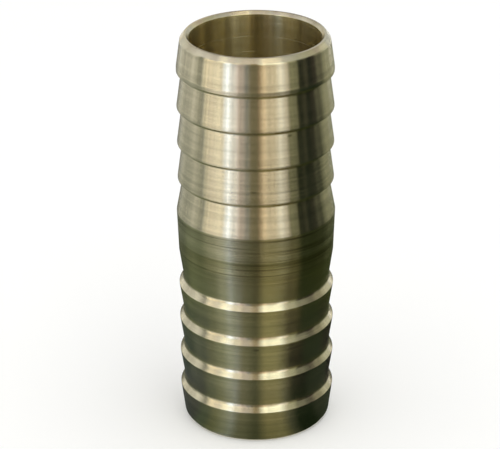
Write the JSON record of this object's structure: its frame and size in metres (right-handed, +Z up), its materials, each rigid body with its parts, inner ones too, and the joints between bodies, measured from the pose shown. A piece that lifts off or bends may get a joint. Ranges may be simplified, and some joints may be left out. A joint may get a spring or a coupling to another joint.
{
  "type": "hose connector",
  "caption": "Straight brass hose connector, turned in one piece: a through-bored tube with a barbed tail at each end and a plain band between them.",
  "frame": {"origin": "centre of the lower end face, on the axis of the bore", "axes": "+Z up the bore's axis, from the lower end to the upper end; +X and +Y are across it, and any turn about +Z is the same"},
  "size_m": [0.027, 0.027, 0.07],
  "materials": {
    "brass": "satin, as turned"
  },
  "bodies": {
    "root": {"connector_body": "brass"}
  },
  "joints": []
}
